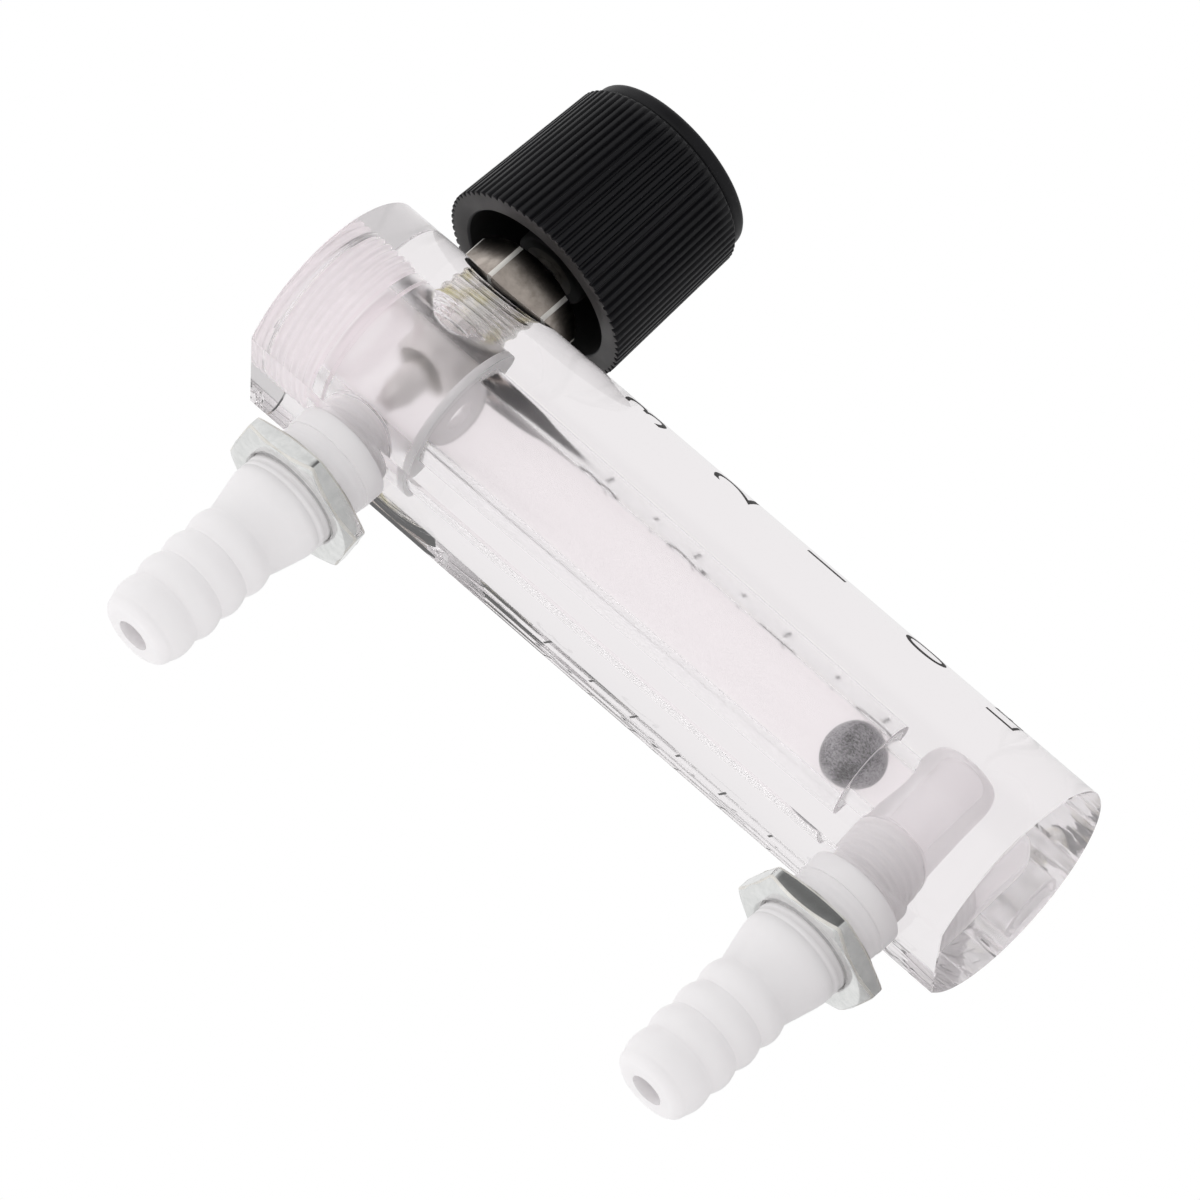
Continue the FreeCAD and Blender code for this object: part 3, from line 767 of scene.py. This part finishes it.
def valveBonnet():
    """One surface from the bore's inner end round the barrel, the thread and the hexagon, and back
    through the stem's bore."""
    form = bonnetForm
    low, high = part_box("valve_bonnet")
    hexRadius, angle = hexOutline(form["acrossFlats"], form["cornerRound"], form["turn"])
    crest = bodyCut["portThread"] + form["threadOverlap"]
    minor = crest - bodyCut["valveThreadDepth"]
    innerEnd = high[1]
    barrelOut = innerEnd - form["barrelLength"]
    headFace, sealFace = sealLow[1], sealHigh[1]
    corner = form["acrossFlats"] / math.sqrt(3)
    threadLine = threadRows(barrelOut, sealFace, bodyCut["portThreadPitch"], minor)
    wave = threadDepth(threadLine[:, :1], -angle / fullTurn, sealFace, barrelOut,
                       bodyCut["portThreadPitch"], bodyCut["valveThreadDepth"])
    lead, edge, slope = form["lead"], form["edge"], form["coneSlope"]
    chamferEnd = low[1] + (hexRadius - corner + slope * form["headChamfer"]) / slope
    coneFoot = corner - slope * form["headChamfer"]
    pistonEnd = innerEnd - form["pistonDepth"]
    rows = [(innerEnd - lead, form["pistonBore"]), (innerEnd, form["pistonBore"] + form["pistonLead"]),
            (innerEnd, form["barrel"] - lead), (innerEnd - lead, form["barrel"]),
            (barrelOut, form["barrel"])]
    rows += [(line[0], line[1] + ridge) for line, ridge in zip(threadLine, wave)]
    rows += [(headFace, crest - lead), (headFace, hexRadius - edge), (headFace - edge, hexRadius),
             (chamferEnd + edge, hexRadius), (chamferEnd - edge * 0.4, hexRadius - edge * 0.9),
             (low[1] + edge, coneFoot + edge), (low[1], coneFoot - edge),
             (low[1], form["stemBore"] + form["stemLead"]), (low[1] + form["stemLead"], form["stemBore"]),
             (pistonEnd, form["stemBore"]), (pistonEnd, form["pistonBore"])]
    grid = hexGrid(outletHeight, angle, rows)
    piece = gridPiece("bonnet_body", grid, wrapRows=True, sharp=45)
    dress(piece, "nickelPlate", "housing", "nickel_plate", "valve_bonnet")
    partWhere(piece, "brightNickel", lambda middle: middle[:, 1] > barrelOut)
    partWhere(piece, "stainedNickel", lambda middle: (
        (middle[:, 1] > sealFace) & (middle[:, 1] < barrelOut)))
    # the hexagon's rounded corners get worn, lighter plating that is also a painted highlight
    partWhere(piece, "wornEdge", lambda middle: (
        (middle[:, 1] < headFace - edge) & (fromValveAxis(middle) > corner - form["cornerRound"])))


valveBonnet()
print("bonnet made")


# ---- bonnet seal

sealForm = {"bore": 5.1 * mm, "seam": 0.4 * mm, "rounding": 0.1 * mm, "columns": 144}


def bonnetSeal():
    """A rubber ring squeezed flat in its recess under the bonnet's head."""
    form = sealForm
    inner, outer = form["bore"], sealHigh[0]
    seam = (sealHigh[1], inner + form["seam"])
    rows = roundedLine([seam, (sealHigh[1], outer), (sealLow[1], outer), (sealLow[1], inner),
                        (sealHigh[1], inner), seam], form["rounding"], 3)
    piece = lathe("squeezed_ring", rows, form["columns"], outletHeight)
    return dress(piece, "blackRubber", "housing", "black_rubber", "bonnet_seal")


bonnetSeal()
print("bonnet seal made")


# ---- knob

knobForm = {"ribs": 72, "ribDepth": 0.42 * mm, "perRib": 10, "face": 12.7 * mm, "end": 12.0 * mm,
            "chamfer": 0.5 * mm, "rimLine": 0.12 * mm, "rimSoft": (0.1 * mm, 0.03 * mm),
            "rimStep": 0.04 * mm, "flatRing": (0.16 * mm, 0.13 * mm), "endIn": (0.05 * mm, 0.15 * mm),
            "skirt": 9.98 * mm, "skirtDepth": 10.4 * mm, "skirtChamfer": 0.25 * mm, "hub": 4.7 * mm,
            "hubChamfer": 0.3 * mm, "bush": 3.3 * mm, "hubTopBelow": 3.4 * mm, "web": 3 * mm,
            "recess": 9 * mm}


def knobBody():
    """Ribs round a taper: radius - depth x groove(angle), where the groove has a flat top and a flat
    bottom. The line goes on over both ends, and round the hollow, the hub and the cap's recess."""
    form = knobForm
    low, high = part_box("knob")
    columns = form["ribs"] * form["perRib"]
    part = np.arange(columns) / form["perRib"] % 1
    groove = smoothStep((np.abs(part * 2 - 1) - 0.35) / 0.5)
    face, end = high[1], low[1]
    hubTop = end + form["hubTopBelow"]
    webFace = face - form["skirtDepth"]
    webBack = webFace - form["web"]
    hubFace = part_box("knob_bush")[1][1]
    ribStart = face - form["rimLine"]
    outer = [(ribStart + (end + form["chamfer"] - ribStart) * t,
              form["face"] + (form["end"] - form["face"]) * t - form["ribDepth"] * groove)
             for t in np.linspace(0, 1, 12)]
    skirt, skirtLead = form["skirt"], form["skirtChamfer"]
    faceFoot, endFoot = form["face"] - form["ribDepth"], form["end"] - form["ribDepth"]
    ribLine = form["face"] - form["ribDepth"] * groove
    rows = [(hubFace, form["bush"]), (hubFace, form["hub"] - form["hubChamfer"]),
            (hubFace - form["hubChamfer"], form["hub"]), (webFace, form["hub"]),
            (webFace, skirt), (face - skirtLead, skirt), (face, skirt + skirtLead),
            (face, faceFoot - form["flatRing"][0]), (face, faceFoot - form["flatRing"][1]),
            (face, ribLine - form["rimSoft"][0]), (face - form["rimStep"], ribLine - form["rimSoft"][1])]
    rows += outer
    rows += [(end + form["rimStep"], endFoot - form["endIn"][0]), (end, endFoot - form["endIn"][1]),
             (end, form["recess"]), (webBack, form["recess"]), (webBack, form["hub"]),
             (hubTop, form["hub"]), (hubTop, form["bush"])]
    grid = turnedGrid(*rowArrays(rows, columns), columns, outletHeight)
    piece = gridPiece("knob_grip", grid, wrapRows=True, sharp=50)
    dress(piece, "blackPlastic", "spindle", "black_plastic", "knob")
    # the flat face gets the lighter copy of the black: painted light
    partWhere(piece, "knobFace", lambda middle: middle[:, 1] > face - touch)
    # inside the skirt, the web and hub get the darker, duller rubber: painted shade in the knob's hollow
    partWhere(piece, "blackRubber", lambda middle: (
        (middle[:, 1] > webFace - touch) & (fromValveAxis(middle) < skirt + touch)))


knobBody()


capForm = {"spigotPlay": 0.02 * mm, "spigotWall": 1.3 * mm, "rounding": 0.8 * mm}


def knobCap():
    """A smooth disc with a rounded rim, held by a thin spigot in the knob's recess."""
    form = capForm
    low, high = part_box("knob_cap")
    radius = high[0]
    spigot = knobForm["recess"] - form["spigotPlay"]
    spigotIn = spigot - form["spigotWall"]
    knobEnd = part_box("knob")[0][1]
    rows = roundedLine([(low[1], 0.0), (low[1], radius), (knobEnd, radius), (knobEnd, spigot)],
                       form["rounding"], 9)
    rows = np.concatenate([rows, [(high[1], spigot), (high[1], spigotIn), (knobEnd, spigotIn),
                                  (knobEnd, 0.0)]])
    piece = lathe("cap_disc", rows, height=outletHeight)
    return dress(piece, "blackPlastic", "spindle", "black_plastic", "knob_cap")


knobCap()
print("knob made")


# ---- float ball

ballForm = {"rows": 65, "columns": 96, "sharp": 80}


def floatBall():
    """A sphere: radius x (cos latitude) round the axis, radius x (sin latitude) up it."""
    form = ballForm
    latitude = np.linspace(-math.pi / 2, math.pi / 2, form["rows"])
    rows = np.stack([ballMiddle + ballRadius * np.sin(latitude), ballRadius * np.cos(latitude)], -1)
    rows[[0, -1], 1] = 0
    bead = lathe("float_bead", rows, form["columns"], sharp=form["sharp"])
    return dress(bead, "floatBall", "float", "float_glass", "float_ball")


floatBall()
print("ball made")


# ---- stop disc

stopForm = {"hole": 1.8 * mm, "rounding": 0.12 * mm, "seam": 1 * mm, "columns": 144}


def stopDisc():
    """A flat ring with softened edges, pressed against the chamber's wall."""
    form = stopForm
    outer, inner = bodyCut["chamber"] + bodyCut["overlap"], form["hole"]
    base, top = stopLow[2] - bodyCut["overlap"], stopHigh[2]
    seam = (base, inner + form["seam"])
    rows = roundedLine([seam, (base, outer), (top, outer), (top, inner), (base, inner), seam],
                       form["rounding"], 4)
    ring = lathe("stop_ring", rows, form["columns"])
    return dress(ring, "whiteDisc", "housing", "white_plastic", "float_stop")


stopDisc()
print("stop disc made")


# ---- printed scale, from a little under the polished surface to a little proud of it

scalePrint = {"depth": -0.015 * mm, "thickness": 0.035 * mm, "tickWidth": 0.3 * mm, "tickSteps": 40,
              "longTicks": {"0": 23.4 * mm, "1": 37.9 * mm, "2": 51.3 * mm, "3": 64.4 * mm},
              "halfTicks": (30.6 * mm, 44.5 * mm, 57.6 * mm),
              "longSpan": (250, 275), "halfSpan": (258, 272), "digitAngle": 234,
              "digitSize": 8.2 * mm, "bolder": -0.07 * mm, "longestEdge": 0.4 * mm,
              "unit": "LPM", "unitAngle": 247, "unitHeight": 12.1 * mm, "unitSize": 6.0 * mm}


def wrapped(angle, height, depth):
    """A point on the body's round at an angle in degrees, depth below the surface."""
    radius = bodyRadius - depth
    turn = np.radians(angle)
    return np.stack([radius * np.cos(turn), radius * np.sin(turn), np.broadcast_to(height, turn.shape)], -1)


def tick(height, span):
    """The four corner lines of a thin bar that follows the body round a span of degrees."""
    angle = np.linspace(*span, scalePrint["tickSteps"])
    half = scalePrint["tickWidth"] / 2
    near, far = scalePrint["depth"], scalePrint["depth"] + scalePrint["thickness"]
    rows = [(height - half, near), (height + half, near), (height + half, far), (height - half, far)]
    return np.stack([wrapped(angle, place, depth) for place, depth in rows], 1)


def tickPiece(name, marks):
    """Short closed bars wrapped round the body, each a grid with a cap at both ends."""
    count = scalePrint["tickSteps"]
    last = 4 * (count - 1)
    barFaces = np.concatenate([gridFaces(count, 4), [[0, 3, 2, 1], [last, last + 1, last + 2, last + 3]]])
    bars = [tick(height, span).reshape(-1, 3) for height, span in marks]
    faces = np.concatenate([barFaces + index * 4 * count for index in range(len(bars))])
    mesh = bpy.data.meshes.new(name)
    mesh.from_pydata(np.concatenate(bars).tolist(), [], faces.tolist())
    outward(mesh)
    return finishPiece(name, mesh)


def wrapText(name, text, size, angle, height):
    """Flat letters bent round the body: their width goes round it, and their height up it."""
    curve = bpy.data.curves.new(name, "FONT")
    curve.body = text
    curve.size = size
    curve.align_x = "CENTER"
    curve.align_y = "CENTER"
    curve.extrude = scalePrint["thickness"] / 2
    curve.offset = scalePrint["bolder"]
    flat = bpy.data.objects.new(name + "_flat", curve)
    bpy.context.scene.collection.objects.link(flat)
    graph = bpy.context.evaluated_depsgraph_get()
    mesh = bpy.data.meshes.new_from_object(flat.evaluated_get(graph))
    bpy.data.objects.remove(flat)
    work = bmesh.new()
    work.from_mesh(mesh)
    bmesh.ops.remove_doubles(work, verts=work.verts, dist=1e-8)
    tooLong = [edge for edge in work.edges if edge.calc_length() > scalePrint["longestEdge"]]
    bmesh.ops.subdivide_edges(work, edges=tooLong, cuts=2)
    bmesh.ops.triangulate(work, faces=work.faces)
    work.to_mesh(mesh)
    work.free()
    points = np.empty(len(mesh.vertices) * 3)
    mesh.vertices.foreach_get("co", points)
    points = points.reshape(-1, 3)
    turn = math.radians(angle) + points[:, 0] / bodyRadius
    radius = bodyRadius - scalePrint["depth"] - scalePrint["thickness"] / 2 + points[:, 2]
    bent = np.stack([radius * np.cos(turn), radius * np.sin(turn), height + points[:, 1]], -1)
    mesh.vertices.foreach_set("co", bent.reshape(-1))
    return finishPiece(name, mesh)


marks = [(height, scalePrint["longSpan"]) for height in scalePrint["longTicks"].values()]
marks += [(height, scalePrint["halfSpan"]) for height in scalePrint["halfTicks"]]
dress(tickPiece("scale_ticks", marks), "scaleInk", "housing", "black_plastic")
texts = [("scale_digit_" + digit, digit, scalePrint["digitSize"], scalePrint["digitAngle"], height)
         for digit, height in scalePrint["longTicks"].items()]
texts.append(("scale_unit", scalePrint["unit"], scalePrint["unitSize"], scalePrint["unitAngle"],
              scalePrint["unitHeight"]))
for text in texts:
    dress(wrapText(*text), "scaleInk", "housing", "black_plastic")
print("scale printed")


# ---- finishes of the nodes that keep their own mesh

nodeFinish = {"plug_seal": "clearSilicone", "valve_stem": "brightNickel",
              "stem_seal_inner": "blackRubber", "stem_seal_outer": "blackRubber",
              # the bush is painted near black, as the shade inside the knob
              "knob_bush": "darkBrass", "knob_screw": "zincPlate"}
for node, finish in nodeFinish.items():
    part = bpy.data.objects[node]
    for holder in part.material_slots:
        holder.material = finishes[finish]
print("node finishes set")


# ---- studio

studio = {"floorSize": 6.0, "floorDrop": 0.05 * mm, "floorRoughness": 0.9,
          "darkSide": (-0.872, -0.401, 0.281), "brightSide": (-0.6, 0.5, 0.62),
          "dark": [(0.0, 1.0), (0.88, 0.97), (0.925, 0.75), (0.965, 0.25), (1.0, 0.13)],
          "bright": [(0.0, 0.86), (0.6, 0.86), (0.85, 1.0), (1.0, 1.0)],
          "throughClear": [(0.0, 0.87), (0.6, 0.84), (0.9, 0.76), (1.0, 0.66)],
          "floor": (0.9, 0.9, 0.9, 1), "floorMirrored": (0.62, 0.62, 0.62, 1), "bounces": 28}


def floor():
    """A pale floor that shows only its upper side, and is darker in polished metal."""
    half, height = studio["floorSize"] / 2, -studio["floorDrop"]
    mesh = bpy.data.meshes.new("floor")
    mesh.from_pydata([(-half, -half, height), (half, -half, height), (half, half, height),
                      (-half, half, height)], [], [(0, 1, 2, 3)])
    plane = bpy.data.objects.new("floor", mesh)
    bpy.context.scene.collection.objects.link(plane)
    material, tree, shader = newMaterial("paleFloor")
    setSockets(shader, {"Roughness": studio["floorRoughness"]})
    path = addNode(tree, "ShaderNodeLightPath")
    colour = mixed(tree, path.outputs["Is Glossy Ray"], studio["floor"], studio["floorMirrored"])
    link(tree, colour, shader.inputs["Base Color"])
    clear = addNode(tree, "ShaderNodeBsdfTransparent")
    side = addNode(tree, "ShaderNodeNewGeometry")
    look = blended(tree, side.outputs["Backfacing"], shader.outputs["BSDF"], clear.outputs["BSDF"])
    link(tree, look, tree.nodes["Material Output"].inputs["Surface"])
    mesh.materials.append(material)


def facing(tree, direction, side):
    """The cosine between a ray's direction and a side of the room."""
    node = addNode(tree, "ShaderNodeVectorMath", operation="DOT_PRODUCT")
    node.inputs[1].default_value = side
    link(tree, direction, node.inputs[0])
    return node.outputs["Value"]


def paleWorld():
    """White all round. Polished metal sees a greyer room with one bright and one dark side, and what
    shows through the clear pieces is a pale grey, a little darker on the dark side."""
    world = bpy.data.worlds.new("paleWorld")
    bpy.context.scene.world = world
    world.use_nodes = True
    tree = world.node_tree
    direction = addNode(tree, "ShaderNodeTexCoord").outputs["Generated"]
    path = addNode(tree, "ShaderNodeLightPath").outputs
    toDark = facing(tree, direction, studio["darkSide"])
    dark = ramp(tree, toDark, studio["dark"])
    bright = ramp(tree, facing(tree, direction, studio["brightSide"]), studio["bright"])
    mirrored = mixed(tree, 1.0, dark, bright, "MULTIPLY")
    seen = mixed(tree, path["Is Glossy Ray"], dark, mirrored)
    seen = mixed(tree, path["Is Transmission Ray"], seen, ramp(tree, toDark, studio["throughClear"]))
    seen = mixed(tree, path["Is Camera Ray"], seen, (1, 1, 1, 1))
    link(tree, seen, tree.nodes["Background"].inputs["Color"])


cameraSet = {"azimuth": -112.8, "elevation": -17.59, "roll": 49.14, "distance": 0.99755,
             "aim": (0.00066, 0.00533, 0.05549), "lens": 278.73, "sensor": 36, "nearest": 0.01}


def placeCamera():
    """Back = (sin a cos e, -cos a cos e, sin e), then the picture is rolled about that line."""
    azimuth, elevation, roll = (math.radians(cameraSet[key]) for key in ("azimuth", "elevation", "roll"))
    back = Vector((math.sin(azimuth) * math.cos(elevation), -math.cos(azimuth) * math.cos(elevation),
                   math.sin(elevation)))
    side = Vector((0, 0, 1)).cross(back).normalized()
    up = back.cross(side)
    rolledUp = up * math.cos(roll) + side * math.sin(roll)
    rolledSide = side * math.cos(roll) - up * math.sin(roll)
    place = Matrix((rolledSide, rolledUp, back)).transposed().to_4x4()
    place.translation = Vector(cameraSet["aim"]) + back * cameraSet["distance"]
    data = bpy.data.cameras.new("camera")
    data.lens = cameraSet["lens"]
    data.sensor_width = cameraSet["sensor"]
    data.clip_start = cameraSet["nearest"]
    camera = bpy.data.objects.new("camera", data)
    camera.matrix_world = place
    bpy.context.scene.collection.objects.link(camera)
    bpy.context.scene.camera = camera


floor()
paleWorld()
placeCamera()
bpy.context.scene.view_settings.view_transform = "Standard"
# light is turned back many times inside the clear pieces
for limit in ("glossy_bounces", "transmission_bounces", "max_bounces"):
    setattr(bpy.context.scene.cycles, limit, studio["bounces"])
print("studio set")

bpy.context.view_layer.update()
